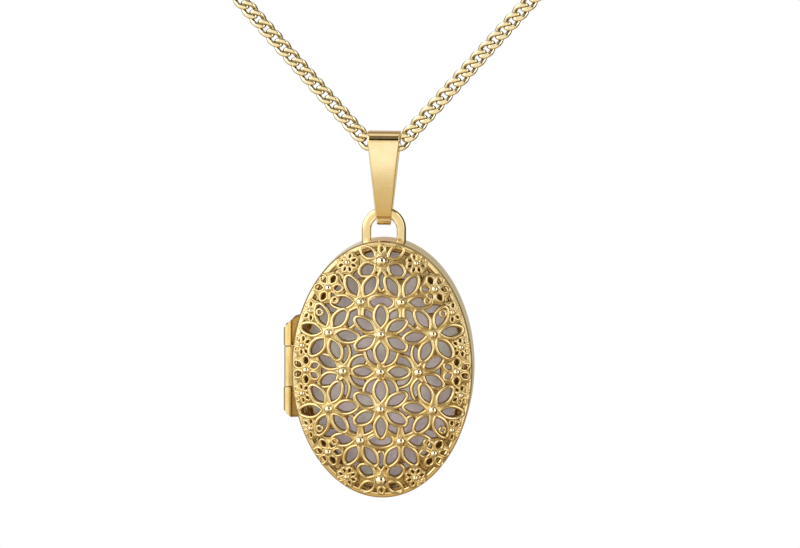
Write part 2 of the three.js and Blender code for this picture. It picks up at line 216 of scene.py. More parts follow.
def oval_disc(profile):
    """Like oval_turned, for a profile that starts and ends on the axis."""
    inner = [(max(r, AXIS_HOLE), y) for r, y in profile]
    body = oval_turned(inner)
    size = len(inner)
    for end in (0, size - 1):
        body.faces.append(tuple(i * size + end for i in range(OVAL_STEPS)))
    closing = {(i * size + size - 1, i * size) for i in range(OVAL_STEPS)}
    body.faces = [f for f in body.faces if len(f) != 4 or not closing & set(zip(f, f[1:]))]
    return body


# ---- chain

STRAND_POINTS = [  # one strand, [X outwards, Z]; the other is its mirror image
    (0.15, -0.05), (0.7, -0.04), (1.2, 0.03), (1.65, 0.2), (2.1, 0.55), (2.7, 1.2),
    (4.47, 3.16), (6.47, 5.4), (8.7, 7.9), (11.2, 10.7), (13.7, 13.5), (16.2, 16.3),
    (18.6, 19.0), (21.52, 22.27),
]
LINKS = 22  # in each strand
LINK_PITCH = 1.457
LINK_WIRE = 0.285  # radius
LINK_LENGTH = LINK_PITCH + 2 * LINK_WIRE  # of the wire's middle line
LINK_WIDTH = 1.28
LINK_TWIST = math.radians(45)
LINK_FLAT = 0.34  # the front and back are cut flat this far from the middle
LINK_SOFT = 0.03  # softness of the cut's edge
LINK_DARK = 0.34  # the wire's sides get full painted shade up to this share of its radius
LINK_LIGHT = 0.52  # and no painted shade from this one
LINK_AROUND = 44
WIRE_AROUND = 14
RING_RADIUS = 1.25  # end ring, at the middle of its wire
RING_WIRE = 0.3
RING_CLEAR = 0.05  # from the strand's end
RING_AROUND = 72
RING_WIRE_AROUND = 20


def smooth_path(points, steps=24):
    """Centripetal Catmull-Rom curve through the points, and its length up to each place."""
    ends = [points[0] * 2 - points[1], *points, points[-1] * 2 - points[-2]]
    path = []
    for a, b, c, d in zip(ends, ends[1:], ends[2:], ends[3:]):
        t1 = (b - a).length ** 0.5
        t2 = t1 + (c - b).length ** 0.5
        t3 = t2 + (d - c).length ** 0.5
        for k in range(steps):
            t = t1 + (t2 - t1) * k / steps
            p = (a * (t1 - t) + b * t) / t1
            q = (b * (t2 - t) + c * (t - t1)) / (t2 - t1)
            r = (c * (t3 - t) + d * (t - t2)) / (t3 - t2)
            p = (p * (t2 - t) + q * t) / t2
            r = (q * (t3 - t) + r * (t - t1)) / (t3 - t1)
            path.append((p * (t2 - t) + r * (t - t1)) / (t2 - t1))
    path.append(points[-1])
    lengths = [0.0]
    for a, b in zip(path, path[1:]):
        lengths.append(lengths[-1] + (b - a).length)
    return path, lengths


def place_on(path, lengths, at):
    """Point and direction at a length along a path, running straight on past its ends."""
    index = 0
    while index < len(lengths) - 2 and lengths[index + 1] < at:
        index += 1
    along = (path[index + 1] - path[index]).normalized()
    return path[index] + along * (at - lengths[index]), along


def flat_cut(depth):
    """Eases a depth off to the flat that the link is cut to."""
    over = LINK_SOFT * math.log1p(math.exp((abs(depth) - LINK_FLAT) / LINK_SOFT))
    return math.copysign(abs(depth) - over, depth)


def link_relief(place, centre):
    """1 on the flat front and along the wire's crest, 0 down its sides, where the chain's finish
    paints shade.
    """
    if abs(place.z) > LINK_FLAT - LINK_SOFT:
        return 1.0
    facing = abs(place.z - centre.z) / LINK_WIRE
    return min(max((facing - LINK_DARK) / (LINK_LIGHT - LINK_DARK), 0), 1)


def link_middle(t):
    """The middle of a link's wire, in the link's own frame: [along, across, depth]."""
    turn = LINK_TWIST * math.cos(t)
    side = LINK_WIDTH / 2 * math.sin(t)
    return Vector((LINK_LENGTH / 2 * math.cos(t), side * math.cos(turn), side * math.sin(turn)))


def link_rings():
    """Rings of one twisted link, in its own frame, and their relief."""
    rings, relief = [], []
    step = 0.01
    for i in range(LINK_AROUND):
        t = TAU * i / LINK_AROUND
        centre = link_middle(t)
        tangent = (link_middle(t + step) - link_middle(t - step)).normalized()
        outward = (centre - tangent * centre.dot(tangent)).normalized()
        other = tangent.cross(outward)
        ring = []
        for cos, sin in circle(WIRE_AROUND):
            p = centre + LINK_WIRE * (cos * outward + sin * other)
            ring.append(Vector((p.x, p.y, flat_cut(p.z))))
        rings.append(ring)
        relief.append([link_relief(p, centre) for p in ring])
    return rings, relief


def chain_path():
    """The whole chain's line through the bail, with lengths from its middle."""
    left = [Vector((-x, 0, z)) for x, z in reversed(STRAND_POINTS)]
    path, lengths = smooth_path(left + [Vector((x, 0, z)) for x, z in STRAND_POINTS])
    middle = lengths[-1] / 2
    return path, [length - middle for length in lengths]


def end_ring_body(centre, along, depth):
    axis = along.cross(depth)
    rings = []
    for cos, sin in circle(RING_AROUND):
        out = cos * along + sin * depth
        rings.append([
            centre + out * (RING_RADIUS + RING_WIRE * c) + axis * RING_WIRE * s
            for c, s in circle(RING_WIRE_AROUND)
        ])
    return Body(rings)


def make_chain(gold):
    """Two strands that mirror one another, each with an end ring at its far end."""
    path, lengths = chain_path()
    shape, shade = link_rings()
    depth = Vector((0, 1, 0))
    for side, name in ((-1, "left"), (1, "right")):
        strand = Body()
        for i in range(LINKS):
            centre, along = place_on(path, lengths, (i + 0.5) * LINK_PITCH)
            across = depth.cross(along)
            rings = []
            for ring in shape:
                spots = [centre + p.x * along + p.y * across + p.z * depth for p in ring]
                rings.append([(side * p.x, p.y, p.z) for p in spots])
            strand.loft(rings, relief=shade)
        piece = make_piece(
            f"curb_chain_{name}", strand, gold, "chain", [f"chain_{name}"], 60)
        end, along = place_on(path, lengths, side * lengths[-1])
        along = along * side
        ring_centre = end + along * (RING_RADIUS + RING_WIRE + RING_CLEAR)
        ring = make_piece(
            f"end_ring_{name}", end_ring_body(ring_centre, along, depth), gold, "chain",
            [f"chain_ring_{name}"])


# ---- bail and loop

BAIL_THICKNESS = 0.45
BAIL_BEND = 0.825  # radius of the strap's two upper bends, at its middle
BAIL_BEND_Y = 0.75
BAIL_BEND_Z = 0.7
BAIL_LOWER = 1.025  # radius of the bend under the loop's bar
BAIL_LOWER_Z = -7.72
BAIL_TOP_WIDTH = 3.87
BAIL_BOTTOM_WIDTH = 1.7
BAIL_TAPER_END = -8.4
BAIL_CORNER = 0.13
BAIL_FLAT = 0.3  # the faces are flat up to this far from their edges
BAIL_STEPS = 26  # in each bend
BAIL_BOW = 0.05  # the straight sides bulge by this much
BAIL_STRAIGHT = 2  # and each is longer than this
SEAM_Z = -8.3  # where the strap's end is soldered over its lower bend
SEAM_DEPTH = 0.1
SEAM_HALF = 0.06
FOLD_OUT = 0.16  # the bend below the seam stands out by this much
FOLD_RISE = 0.3  # reached over this height
FOLD_IN = 0.04  # and is narrower by this much on each side


def strap_line():
    """Points of the strap's middle line in Y and Z, with their outward directions."""
    dy, dz = -BAIL_BEND_Y, BAIL_LOWER_Z - BAIL_BEND_Z
    lean = -math.atan2(dz, dy) - math.acos((BAIL_BEND - BAIL_LOWER) / math.hypot(dy, dz))
    bends = [
        (BAIL_BEND_Y, BAIL_BEND_Z, BAIL_BEND, -lean, math.pi / 2),
        (-BAIL_BEND_Y, BAIL_BEND_Z, BAIL_BEND, math.pi / 2, math.pi + lean),
        (0, BAIL_LOWER_Z, BAIL_LOWER, math.pi + lean, TAU - lean),
    ]
    line = []
    for y, z, radius, start, end in bends:
        for angle in spread(start, end, BAIL_STEPS):
            out = Vector((math.cos(angle), math.sin(angle)))
            line.append((Vector((y, z)) + radius * out, out))
    full = []
    for (point, out), (following, next_out) in zip(line, line[1:] + line[:1]):
        full.append((point, out))
        if (following - point).length > BAIL_STRAIGHT:
            for t in spread(0, 1, BAIL_STEPS)[1:-1]:
                bow = BAIL_BOW * 4 * t * (1 - t)
                full.append((point.lerp(following, t) + out * bow, out.lerp(next_out, t)))
    return full


def bail_body():
    rings = []
    for point, out in strap_line():
        share = min(max((BAIL_HIGH.z - point.y) / (BAIL_HIGH.z - BAIL_TAPER_END), 0), 1)
        half = (BAIL_TOP_WIDTH + (BAIL_BOTTOM_WIDTH - BAIL_TOP_WIDTH) * share) / 2
        outer = BAIL_THICKNESS / 2
        if point.y < SEAM_Z:
            half -= FOLD_IN
            outer += FOLD_OUT * min(1, (SEAM_Z - point.y) / FOLD_RISE) * max(0, -out.y)
        if point.x < 0 and abs(point.y - SEAM_Z) < SEAM_HALF:
            outer -= SEAM_DEPTH
        inner, flat = -BAIL_THICKNESS / 2, half - BAIL_FLAT
        section = rounded([
            (-half, inner), (-flat, inner), (flat, inner), (half, inner),
            (half, outer), (flat, outer), (-flat, outer), (-half, outer),
        ], BAIL_CORNER)
        rings.append([(x, point.x + out.x * v, point.y + out.y * v) for x, v in section])
    return Body(rings)


LOOP_OUTSIDE = 2.55
LOOP_OUTSIDE_Z = -9.6
LOOP_INSIDE = 1.5
LOOP_INSIDE_Z = -9.7
LOOP_EDGE = 0.2  # bevels of its outside
LOOP_INNER_EDGE = 0.12
LOOP_SUNK = 0.1  # how deep its feet go into the case's wall
LOOP_STEPS = 64


def foot_z(x):
    return CASE_Z + HALF_HEIGHT * math.sqrt(1 - (x / HALF_WIDTH) ** 2) - LOOP_SUNK


def loop_body():
    """Arch whose two feet sink a little into the case's wall."""
    bend = [(angle, 0) for angle in spread(0, math.pi, LOOP_STEPS)]
    rings = []
    for angle, down in ((0, 1), (0, 0.5), *bend, (math.pi, 0.5), (math.pi, 1)):
        out = Vector((math.cos(angle), math.sin(angle)))
        outside = Vector((0, LOOP_OUTSIDE_Z)) + LOOP_OUTSIDE * out
        inside = Vector((0, LOOP_INSIDE_Z)) + LOOP_INSIDE * out
        outside.y += (foot_z(LOOP_OUTSIDE) - LOOP_OUTSIDE_Z) * down
        inside.y += (foot_z(LOOP_INSIDE) - LOOP_INSIDE_Z) * down
        half, thick = LOOP_HIGH.y, (outside - inside).length
        across = (outside - inside) / thick
        section = rounded([
            (0, LOOP_INNER_EDGE - half), (LOOP_INNER_EDGE, -half), (thick - LOOP_EDGE, -half),
            (thick, LOOP_EDGE - half), (thick, half - LOOP_EDGE), (thick - LOOP_EDGE, half),
            (LOOP_INNER_EDGE, half), (0, half - LOOP_INNER_EDGE),
        ], 0.05, 2)
        rings.append([(inside.x + across.x * u, y, inside.y + across.y * u) for u, y in section])
    return Body(rings, closed=False)


# ---- case

WALL_EDGE = 0.08  # small bevels at the seam
BACK_ROUND = 0.8
BACK_FLOOR = 0.6  # thickness of the back
BACK_WALL = 0.7
BACK_MIDDLE = 2.0  # half-height at which the profile is cut open
LID_WALL = 0.6
SLEEVE_WIDTH = 0.3
FRAME_WIDTH = 0.58
FRAME_SLOPE = 0.15  # how much its opening widens towards the front
PLATE_EDGE = 0.1
PLATE_RINGS = (4, 9)  # half-heights that divide its faces


def back_shell_body():
    front = BACK_LOW.y
    floor = BACK_Y - BACK_FLOOR
    inside = HALF_HEIGHT - BACK_WALL
    outline = rounded([
        (HALF_HEIGHT, front, WALL_EDGE), (HALF_HEIGHT, BACK_Y, BACK_ROUND),
        (BACK_MIDDLE, BACK_Y, 0), (BACK_MIDDLE, floor, 0), (inside, floor, 0.3),
        (inside, front, 0.05),
    ], 0.1, 8)
    split = next(i for i, p in enumerate(outline) if p.x < BACK_MIDDLE + 0.01)
    turned = outline[split + 1:] + outline[:split + 1]
    return oval_disc([(0, floor), *turned, (0, BACK_Y)])


def lid_rim_body():
    """Side wall whose front edge steps down to the groove that the filigree sits in."""
    seam, front = LID_HIGH.y, LID_LOW.y
    edge = DOME_HIGH.z - CASE_Z + 0.05
    inside = HALF_HEIGHT - LID_WALL
    return oval_turned(rounded([
        (inside, seam, 0.05), (HALF_HEIGHT, seam, WALL_EDGE), (HALF_HEIGHT, front + 0.5, 0.15),
        (HALF_HEIGHT - 0.16, front + 0.22, 0.05), (edge + 0.26, front + 0.2, 0.03),
        (edge + 0.2, front + 0.14, 0.04), (edge, front + 0.16, 0.04), (edge, front + 0.7, 0.05),
        (inside, front + 0.75, 0.02),
    ], 0.05, 5))


def ring_body(low, high, width, slope):
    """An oval band between a node's box, its opening widening by slope towards the front."""
    outside = (high.z - low.z) / 2
    inside = outside - width
    return oval_turned(rounded([
        (inside, high.y), (inside + slope, low.y), (outside, low.y), (outside, high.y),
    ], 0.08))


def plate_body():
    outside = (PLATE_HIGH.z - PLATE_LOW.z) / 2
    inner, outer = PLATE_RINGS
    front, back = PLATE_LOW.y, PLATE_HIGH.y
    return oval_disc([
        (0, front), (inner, front), (outer, front), (outside - PLATE_EDGE, front),
        (outside, front + PLATE_EDGE), (outside, back), (outer, back), (0, back),
    ])


# ---- hinge

HINGE_X = (PIN_LOW.x + PIN_HIGH.x) / 2
KNUCKLE_RADIUS = 0.5
KNUCKLE_THINNER = {1: 0.0, -1: 0.07}  # the lid's knuckle is a little thinner
# Relief of the webs, low so that the finish paints them in shade.
WEB_RELIEF = {1: 0.27, -1: 0.2}
FLANK_SHADE = 0.35  # painted shade on the barrel fades out over this width beside its web
WEB_CLEAR = 0.08
WEB_SLOPE = 0.2  # how much further in a back web starts at the wall
WEB_DEPTH = {1: 1.3, -1: 0.34}  # behind the seam, and in front of it
WEB_HEEL = {1: 0.75, -1: KNUCKLE_RADIUS}  # how far a web reaches out from the pin
WEB_TURN = {1: 0.75 * math.pi, -1: 0.25 * math.pi}  # where the barrel's round starts
WEB_REACH = 0.1  # a back web runs this far into the gap beside the lid's
HINGE_HALF = 6.0
TOP_CHAMFER = 1.5  # height of the slopes at the hinge's two ends
BOTTOM_CHAMFER = 0.9
KNUCKLE_EDGE = 0.05
KNUCKLE_STEP = 0.4  # between its rings
WEB_SUNK = 0.05  # into the case's wall
BARREL_STEPS = 30
PIN_AROUND = 24
PIN_OUT = 0.06  # its heads stand out of the knuckles by this much


def knuckle_body(low, high, side):
    """A barrel with a web to the wall. side is 1 for a web behind the seam, -1 in front."""
    rings, relief = [], []
    steps = max(2, round((high - low) / KNUCKLE_STEP))
    inset = {0: KNUCKLE_EDGE, steps + 2: KNUCKLE_EDGE}
    inner_levels = spread(low, high, steps)[1:-1]
    levels = [low, low + KNUCKLE_EDGE, *inner_levels, high - KNUCKLE_EDGE, high]
    start = math.asin(WEB_CLEAR / KNUCKLE_RADIUS)
    turn, heel = WEB_TURN[side], WEB_HEEL[side]
    nearest = min(levels, key=abs)
    for index, z in enumerate(levels):
        small = inset.get(index, 0.0)
        reach = math.copysign(WEB_REACH, -z) if side > 0 and z == nearest else 0.0
        radius = KNUCKLE_RADIUS - KNUCKLE_THINNER[side] - small
        wall = -HALF_WIDTH * math.sqrt(1 - (z / HALF_HEIGHT) ** 2) - HINGE_X + WEB_SUNK
        near = WEB_CLEAR + small + (WEB_SLOPE if side > 0 else 0)
        far = WEB_DEPTH[side] - small
        outline = [Vector((wall, near)), Vector((wall, far)), Vector((heel, far))]
        for angle in spread(turn, TAU + start, BARREL_STEPS):
            outline.append(radius * Vector((math.cos(angle), math.sin(angle))))
        ring = []
        for k, p in enumerate(outline):
            slope = HINGE_HALF + KNUCKLE_RADIUS + p.x
            level = z + reach if k < 3 else z
            height = max(BOTTOM_CHAMFER - slope, min(slope - TOP_CHAMFER, level))
            ring.append((HINGE_X + p.x, SEAM_Y + side * p.y, CASE_Z + height))
        rings.append(ring)
        # Painted shade on the web and on the barrel beside it.
        web = WEB_RELIEF[side]
        flank = [max(web, min(1, (KNUCKLE_RADIUS - p.x) / FLANK_SHADE)) for p in outline[3:]]
        relief.append([web] * 3 + flank)
    return Body(rings, False, relief)


def pin_body():
    """Pin with a rounded head at each end, flush with the sloping ends of the knuckles."""
    radius = (PIN_HIGH.x - PIN_LOW.x) / 2
    head = [(0.02, 0), (radius * 0.5, 0.03), (radius * 0.85, 0.1), (radius, 0.2)]
    reach = HINGE_HALF + KNUCKLE_RADIUS + PIN_OUT
    profile = [(r, reach - TOP_CHAMFER - down) for r, down in head]
    profile += [(r, BOTTOM_CHAMFER - reach + up) for r, up in reversed(head)]
    rings = [
        [(HINGE_X + r * cos, SEAM_Y + r * sin, CASE_Z + z) for cos, sin in circle(PIN_AROUND)]
        for r, z in profile
    ]
    # Relief 0: the finish paints the whole pin in its full shade colour and glow.
    return Body(rings, False, [[0.0] * PIN_AROUND] * len(rings))


def make_hinge(gold):
    for name, side, rides_on in (("upper", 1, "back"), ("middle", -1, "lid"), ("lower", 1, "back")):
        node = f"hinge_knuckle_{name}"
        low, high = (corner.z - CASE_Z for corner in node_box(node))
        make_piece(f"knuckle_{name}", knuckle_body(low, high, side), gold, rides_on, [node], 30)
    make_piece("pin", pin_body(), gold, "back", ["hinge_pin"])


# ---- filigree

DOME_HALF_WIDTH = DOME_HIGH.x
DOME_HALF_HEIGHT = (DOME_HIGH.z - DOME_LOW.z) / 2
EDGE_DEPTH = 0.6  # of the dome's plain edge
DOME_EDGE_Y = DOME_HIGH.y - EDGE_DEPTH
DOME_RISE = DOME_EDGE_Y - DOME_LOW.y
DOME_POWER = 2.5
DOME_ROUNDNESS = 0.75
DOME_STEEPEST = 0.93  # beyond this share the face keeps its slope
SLOPE_STEP = 0.02  # that the slope is measured over
WIRE_MARGIN = 0.17  # between the outermost wires' middles and the lid's edge
LEVEL_STEP = 0.16  # between flowers that lie over one another

# Section of a petal's wire: [place across it, depth below its crest], from the opening's side.
RIDGE = [
    (-0.24, 0.55), (-0.23, 0.38), (-0.2, 0.22), (-0.125, 0.07), (-0.05, 0.01), (0.02, 0.0),
    (0.1, 0.03), (0.18, 0.1), (0.23, 0.22), (0.25, 0.36), (0.25, 0.55),
]
RELIEF_DEPTH = 0.38  # painted shade deepens over this depth below the crest

# Kinds of flower: [petals, hub radius, wire scale], the petals as [turn, reach from, to, width].


def even_petals(count, reach_from, reach_to, width):
    return [(360 * k / count, reach_from, reach_to, width) for k in range(count)]


LARGE = (even_petals(6, 0.72, 3.42, 1.5), 0.82, 1.0)
SMALL = (even_petals(6, 0.5, 1.66, 0.86), 0.6, 0.72)
TINY = (even_petals(8, 0.4, 1.15, 0.5), 0.45, 0.6)
END = ([  # at the top and bottom, its first petal at the rim
    (0, 0.9, 1.85, 0.72), (60, 0.85, 2.9, 1.25), (120, 0.85, 2.95, 1.62),
    (180, 1.0, 3.4, 1.1), (240, 0.85, 2.95, 1.62), (300, 0.85, 2.9, 1.25),
], 0.95, 1.0)

SHARED_Z = 8.06  # two neighbours here share a lens instead of two petals
SHARED_HALF_LENGTH = 1.48
SHARED_WIDTH = 1.62
SHARED_POWER = 0.9  # 1 is an ellipse, less is fuller
SHARED_LEVEL = 1
SHARED_STEPS = 48

# [X, Z, level, turn in degrees, kind, web reach], first quarter only.
FLOWERS = [
    (0, 0, 1, 0, LARGE, 2.2),
    (0, 4.35, 2, 90, LARGE, 2.1),
    (4.36, 0, 0, 90, LARGE, 1.75),
    (6.03, 4.42, 2, 8, LARGE, 2.45),
    (2.34, SHARED_Z, SHARED_LEVEL, 0, LARGE, 2.7),
    (0, 12.75, 0, 90, END, 1.75),
    (6.16, 9.56, 1, 0, SMALL, 1.85),
    (8.71, 0, 1, 90, SMALL, 1.85),
    (3.99, 12.5, 0.5, 22, TINY, 1.4),
    (8.2, 6.85, 0.5, 0, TINY, 1.4),
    (9.2, 2.8, 0.5, 10, TINY, 1.4),
]
PETAL_STEPS = {True: 18, False: 12}  # along each half of a large and a smaller petal
PETAL_POWER = 0.85  # of the sine that gives its width, at the flower's middle
PETAL_FULLER = 0.42  # and this much less at its tip
# How much petals differ by chance: turn in radians, shares of reach and width.
UNEVEN_TURN = 0.03
UNEVEN_REACH = (0.97, 1.03)
UNEVEN_WIDTH = (0.95, 1.05)
CROSSING = 0.5  # a petal this far beyond the middle crosses into its twin
OVER_RIM = 1.06  # and one past this share of the rim is left out too
NEIGHBOUR_REACH = 7.2  # flowers further apart never overlap
OPENING_IN = 0.06  # an opening starts this far inside its wire's middle
# Small closed curls over the tips of petals, as [X, Z], first quarter only.
CURLS = [(7.05, 6.75), (5.3, 8.2)]
CURL_RADIUS = 0.33  # at the middle of its wire
CURL_LEVEL = 2.6
CURL_SCALE = 0.62
CURL_STEPS = 16
# Bands under the rim's wires: shares from and to, cells across, depth, relief (low relief gets
# painted shade and glow), roughness.
GROUND = (0.855, 0.975, 12, 0.26, 0.5, 0.06)
BACKING = (0.875, 0.975, 6, 0.7, 0.0, 0.0)
BAND_STEPS = 400
BAND_THICKNESS = 0.15
PINHOLES = [(0.893, 46, 0.21), (0.94, 62, 0.16)]  # rows in the ground: share, count, radius
PINHOLE_DRIFT = 0.25  # along the row, as a share of the spacing
PINHOLE_SIZES = (0.75, 1.2)
BORDER_WIDTH = 0.3
BORDER_SUNK = 0.18
# Relief of the border, low enough that the finish gives it some painted shade.
BORDER_RELIEF = 0.35

# Webs in the V between two petals. Their face is [share of the half-width, depth].
FILL_FACE = [(-1, 0.06), (-0.5, 0.1), (0, 0.12), (0.5, 0.1), (1, 0.06)]
FILL_BOTTOM = 0.55
FILL_START = 0.6  # of the hub's radius
FILL_STEPS = 12
FILL_HALF = 0.05  # its least half-width
FILL_SINKS = (0.72, 0.1, 0.22)  # from this share of its reach, over this share, by this depth
FILL_BOW = 0.12  # its outer end is hollow by this much
HUB_AROUND = 20
HUB_PROFILE = [(0.05, 0.04), (0.7, 0.04), (1.0, 0.1), (1.0, 0.5), (0.05, 0.5)]


def dome_y(x, z):
    share = min(math.hypot(x / DOME_HALF_WIDTH, z / DOME_HALF_HEIGHT), 1)
    return DOME_EDGE_Y - DOME_RISE * (1 - share ** DOME_POWER) ** DOME_ROUNDNESS


def on_dome(x, z, height):
    """Point at a height off the dome's face, over a place."""
    share = math.hypot(x / DOME_HALF_WIDTH, z / DOME_HALF_HEIGHT)
    pull = min(1, DOME_STEEPEST / max(share, 1e-6))
    sx, sz, step = x * pull, z * pull, SLOPE_STEP
    slope_x = (dome_y(sx + step, sz) - dome_y(sx - step, sz)) / (2 * step)
    slope_z = (dome_y(sx, sz + step) - dome_y(sx, sz - step)) / (2 * step)
    normal = Vector((slope_x, -1, slope_z)).normalized()
    beyond = Vector((x - sx, z - sz))
    y = dome_y(sx, sz) + beyond.x * slope_x + beyond.y * slope_z
    return Vector((x, y, CASE_Z + z)) + normal * height


def rim_share(x, z):
    """1 where the outermost wires run, and less towards the middle."""
    return math.hypot(x / (HALF_WIDTH - WIRE_MARGIN), z / (HALF_HEIGHT - WIRE_MARGIN))


def on_lid(place, height):
    """Point at a height off the dome, its place pulled towards the middle to be off the rim."""
    pull = min(1, 1 / max(rim_share(*place), 1e-6))
    return on_dome(place[0] * pull, place[1] * pull, height)


def mirror_images(x, z, turn):
    """The mirror images of a place in the first quarter, each once, with its turn mirrored."""
    for sx in (-1, 1) if x > 0 else (1,):
        for sz in (1, -1) if z > 0 else (1,):
            if x > 0 and z > 0:
                yield (sx * x, sz * z), sx * sz * turn
            else:
                yield (sx * x, sz * z), turn if sx * sz > 0 else turn + 180


class Petal:
    """A petal: its flower's centre and level, its direction, reach and width, its wire's scale."""

    def __init__(self, centre, level, direction, reach_from, reach_to, width, scale):
        self.centre, self.level, self.direction = centre, level, direction
        self.reach_from, self.reach_to, self.width = reach_from, reach_to, width
        self.scale = scale
        self.cos, self.sin = math.cos(direction), math.sin(direction)

    def placed(self, along, across):
        return (self.centre[0] + self.cos * along - self.sin * across,
                self.centre[1] + self.sin * along + self.cos * across)

    def measured(self, place):
        dx, dz = place[0] - self.centre[0], place[1] - self.centre[1]
        return self.cos * dx + self.sin * dz, self.cos * dz - self.sin * dx

    def half_width(self, along):
        q = (along - self.reach_from) / (self.reach_to - self.reach_from)
        bulge = math.sin(math.pi * min(max(q, 0), 1))
        return self.width / 2 * bulge ** (PETAL_POWER - PETAL_FULLER * q)

    def opening_holds(self, place):
        along, across = self.measured(place)
        if not self.reach_from + OPENING_IN < along < self.reach_to - OPENING_IN:
            return False
        return abs(across) < self.half_width(along) - OPENING_IN


def hidden(place, level, petals):
    """Whether a wire at this level would cross the opening of a petal that lies over it."""
    return any(p.level > level and p.opening_holds(place) for p in petals)


def add_wire(body, line, level, scale, above=(), keep_apart=None):
    """A ridged wire along a closed line of places, left out in the openings of petals above.

    keep_apart(k, place) may correct a place.
    """
    section = [(across * scale, -depth * scale) for across, depth in RIDGE]
    rings, relief, shown = [], [], []
    for k, (a, b) in enumerate(line):
        before, after = line[k - 1], line[(k + 1) % len(line)]
        tangent = Vector((after[0] - before[0], after[1] - before[1])).normalized()
        out = Vector((-tangent.y, tangent.x))
        ring = []
        for u, v in section:
            place = (a + out.x * u, b + out.y * u)
            if keep_apart:
                place = keep_apart(k, place)
            ring.append(on_lid(place, level * LEVEL_STEP + v))
        rings.append(ring)
        # Painted shade down the wire's sides, from its depth below the crest.
        relief.append([max(0, 1 + v / RELIEF_DEPTH) for _, v in section])
        shown.append(not hidden((a, b), level, above))
    if all(shown):
        body.loft(rings, True, relief)
        return
    count = len(line)
    for start in (k for k in range(count) if shown[k] and not shown[k - 1]):
        length = 1
        while shown[(start + length) % count]:
            length += 1
        if length > 2:
            run = [(start + k) % count for k in range(length)]
            body.loft([rings[k] for k in run], False, [relief[k] for k in run])


def add_petal(body, petal, above):
    """A closed loop of wire, pointed at the flower's middle."""
    steps = PETAL_STEPS[petal.scale == 1]

    def keep_apart(k, place):
        """Keeps each half of the petal on its own side of the petal's middle line."""
        along, across = petal.measured(place)
        if 0 < k < steps:
            across = max(across, 0.0)
        elif k > steps:
            across = min(across, 0.0)
        return petal.placed(along, across)

    line = []
    for k in range(2 * steps):
        q = (1 - math.cos(math.pi * k / steps)) / 2
        along = petal.reach_from + (petal.reach_to - petal.reach_from) * q
        side = 1 if k <= steps else -1
        line.append(petal.placed(along, side * petal.half_width(along)))
    add_wire(body, line, petal.level, petal.scale, above, keep_apart)


def add_lens(body, centre, above):
    """The lens-shaped opening between two neighbours whose petals have grown together."""
    line = []
    for cos, sin in circle(SHARED_STEPS):
        half = SHARED_WIDTH / 2 * abs(sin) ** SHARED_POWER
        line.append((centre[0] + SHARED_HALF_LENGTH * cos, centre[1] - math.copysign(half, sin)))
    add_wire(body, line, SHARED_LEVEL, 1.0, above)


def add_curl(body, centre):
    add_wire(body, [
        (centre[0] + CURL_RADIUS * cos, centre[1] - CURL_RADIUS * sin)
        for cos, sin in circle(CURL_STEPS)
    ], CURL_LEVEL, CURL_SCALE)


def add_web(body, first, second, end, hub, above):
    """Fills the V between two neighbouring petals: level near the hub, sunk further out."""
    turn = (second.direction - first.direction) % TAU
    cos, sin = math.cos(turn / 2), math.sin(turn / 2)
    start = hub * FILL_START
    middle = Petal(first.centre, first.level, first.direction + turn / 2, start, end, 0, first.scale)
    sinks_at, sinks_over, deepest = FILL_SINKS
    rings, relief = [], []
    for k, a in enumerate(spread(start, end, FILL_STEPS)):
        if k > 2 and hidden(middle.placed(a, 0), middle.level, above):
            break
        left, right = (max(a * sin - p.half_width(a * cos) * cos, FILL_HALF) for p in (first, second))
        sunk = min(max((a - sinks_at * end) / (sinks_over * end), 0), 1) * deepest * middle.scale
        section = [(share, dip + sunk) for share, dip in FILL_FACE]
        ring, row = [], []
        for share, dip in (*section, (1, FILL_BOTTOM), (-1, FILL_BOTTOM)):
            across = share * (left if share < 0 else right)
            along = a - (FILL_BOW * (1 - share * share) if k == FILL_STEPS else 0)
            height = middle.level * LEVEL_STEP - dip * middle.scale
            ring.append(on_lid(middle.placed(along, across), height))
            # Painted shade from the web's depth.
            row.append(max(0, 1 - dip / RELIEF_DEPTH))
        rings.append(ring)
        relief.append(row)
    body.loft(rings, False, relief)


def add_hub(body, centre, radius, level):
    """Small disc that the petals spring from, under the granule."""
    rings, relief = [], []
    for share, drop in HUB_PROFILE:
        reach = radius * share
        rings.append([
            on_lid((centre[0] + reach * cos, centre[1] + reach * sin), level - drop)
            for cos, sin in circle(HUB_AROUND)
        ])
        # Painted shade from the hub's depth.
        relief.append([max(0, 1 - drop / RELIEF_DEPTH)] * HUB_AROUND)
    body.loft(rings, False, relief)


def flower_petals(centre, level, turn, kind, dice):
    petals, _, scale = kind
    return [
        Petal(centre, level, math.radians(turn + angle) + dice.uniform(-UNEVEN_TURN, UNEVEN_TURN),
              reach_from, reach_to * dice.uniform(*UNEVEN_REACH),
              width * dice.uniform(*UNEVEN_WIDTH), scale)
        for angle, reach_from, reach_to, width in petals
    ]


def left_out(petal):
    """True of a petal that crosses into its twin, or that lies over the rim."""
    x, z = petal.placed(petal.reach_to, 0)
    return (petal.centre[0] * x < 0 and abs(x) > CROSSING) or rim_share(x, z) > OVER_RIM


def rim_place(share, turn):
    """Place at a share of the way to the dome's edge, turned clockwise from the top."""
    return (DOME_HALF_WIDTH * share * math.sin(turn), DOME_HALF_HEIGHT * share * math.cos(turn))


def pinholes(dice):
    """Small round holes in the ground, as place and radius."""
    holes = []
    for share, count, radius in PINHOLES:
        for k in range(count):
            place = rim_place(share, TAU * (k + dice.uniform(-PINHOLE_DRIFT, PINHOLE_DRIFT)) / count)
            holes.append((place, radius * dice.uniform(*PINHOLE_SIZES)))
    return holes


